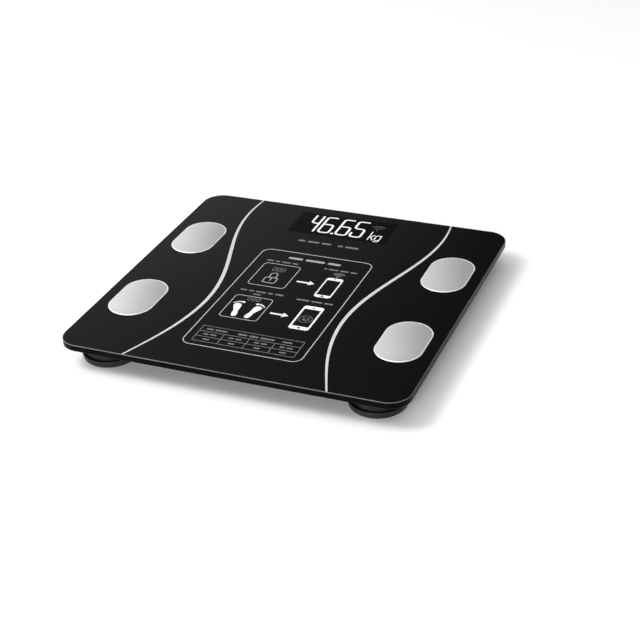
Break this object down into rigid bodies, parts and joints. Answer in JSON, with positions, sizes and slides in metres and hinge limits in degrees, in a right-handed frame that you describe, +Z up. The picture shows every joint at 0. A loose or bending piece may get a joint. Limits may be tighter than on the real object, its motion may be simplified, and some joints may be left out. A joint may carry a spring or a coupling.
{
  "type": "digital bathroom scale",
  "caption": "Square black glass body-composition scale with steel electrodes, a lit display under the glass and load-cell feet in black cups.",
  "frame": {"origin": "on the floor, under the middle of the platform's box", "axes": "+Z up from the floor, +Y towards the edge with the display, +X to the right of a person who stands at the front edge and reads it"},
  "size_m": [0.26, 0.26, 0.0214],
  "materials": {
    "black_glass": "clear tempered glass, printed black on its back, ground edge",
    "brushed_steel": "satin",
    "zinc_steel": "zinc plated",
    "electrode_core": "smooth insulation",
    "foam_tape": "white foam",
    "film_tape": "thin film",
    "black_plastic": "fine moulded texture",
    "door_plastic": "fine moulded texture",
    "cell_jacket": "printed jacket",
    "spring_steel": "plated",
    "contact_plate": "plated",
    "grey_plastic": "moulded",
    "circuit_board": "solder mask",
    "chip_plastic": "moulded",
    "shield_metal": "pressed",
    "white_plastic": "moulded",
    "display_glass": "polished",
    "led_plastic": "clear",
    "pink_rubber": "soft",
    "gauge_rubber": "soft",
    "cell_steel": "stamped",
    "ribbon_plastic": "smooth insulation",
    "pad_rubber": "matte",
    "silver_print": "printed ink",
    "white_print": "printed ink"
  },
  "bodies": {
    "root": {"glass_platform": "black_glass", "electrode_front_left": "brushed_steel", "electrode_front_right": "brushed_steel", "electrode_rear_left": "brushed_steel", "electrode_rear_right": "brushed_steel", "electrode_nuts": "zinc_steel", "electrode_lead_front_left": "electrode_core", "electrode_lead_front_right": "electrode_core", "electrode_lead_rear_left": "electrode_core", "electrode_lead_rear_right": "electrode_core", "housing_tape": "foam_tape", "main_housing": "black_plastic", "battery_cell_front": "cell_jacket", "battery_cell_rear": "cell_jacket", "battery_springs": "spring_steel", "battery_contacts": "contact_plate", "unit_switch": "grey_plastic", "main_board": "circuit_board", "controller_chip": "chip_plastic", "amplifier_chip": "chip_plastic", "wireless_module": "shield_metal", "board_screws": "zinc_steel", "display_holder": "white_plastic", "display_panel": "display_glass", "backlight_panel": "white_plastic", "backlight_leds": "led_plastic", "contact_strip": "pink_rubber", "foot_tapes": "foam_tape", "lead_tapes": "film_tape", "gauge_covers": "gauge_rubber", "foot_housing_front_left": "black_plastic", "foot_housing_front_right": "black_plastic", "foot_housing_rear_left": "black_plastic", "foot_housing_rear_right": "black_plastic", "cell_frame_front_left": "black_plastic", "cell_frame_front_right": "black_plastic", "cell_frame_rear_left": "black_plastic", "cell_frame_rear_right": "black_plastic", "load_cell_front_left": "cell_steel", "load_cell_front_right": "cell_steel", "load_cell_rear_left": "cell_steel", "load_cell_rear_right": "cell_steel", "cell_lead_front_left": "ribbon_plastic", "cell_lead_front_right": "ribbon_plastic", "cell_lead_rear_left": "ribbon_plastic", "cell_lead_rear_right": "ribbon_plastic"},
    "foot_front_left": {"foot_cup_front_left": "black_plastic", "foot_pad_front_left": "pad_rubber"},
    "foot_front_right": {"foot_cup_front_right": "black_plastic", "foot_pad_front_right": "pad_rubber"},
    "foot_rear_left": {"foot_cup_rear_left": "black_plastic", "foot_pad_rear_left": "pad_rubber"},
    "foot_rear_right": {"foot_cup_rear_right": "black_plastic", "foot_pad_rear_right": "pad_rubber"},
    "battery_cover": {"battery_door": "door_plastic"},
    "unit_key": {"unit_button": "grey_plastic"}
  },
  "joints": [
    {"name": "foot_front_left_press", "type": "slide", "parent": "root", "child": "foot_front_left", "axis": [0, 0, 1], "range_m": [0, 0.0006], "stiffness_N_per_m": 40000},
    {"name": "foot_front_right_press", "type": "slide", "parent": "root", "child": "foot_front_right", "axis": [0, 0, 1], "range_m": [0, 0.0006], "stiffness_N_per_m": 40000},
    {"name": "foot_rear_left_press", "type": "slide", "parent": "root", "child": "foot_rear_left", "axis": [0, 0, 1], "range_m": [0, 0.0006], "stiffness_N_per_m": 40000},
    {"name": "foot_rear_right_press", "type": "slide", "parent": "root", "child": "foot_rear_right", "axis": [0, 0, 1], "range_m": [0, 0.0006], "stiffness_N_per_m": 40000},
    {"name": "battery_door_slide", "type": "slide", "parent": "root", "child": "battery_cover", "axis": [0, -1, 0], "range_m": [0, 0.032]},
    {"name": "unit_button_press", "type": "slide", "parent": "root", "child": "unit_key", "axis": [0, 0, 1], "range_m": [0, 0.0006], "stiffness_N_per_m": 1500}
  ]
}
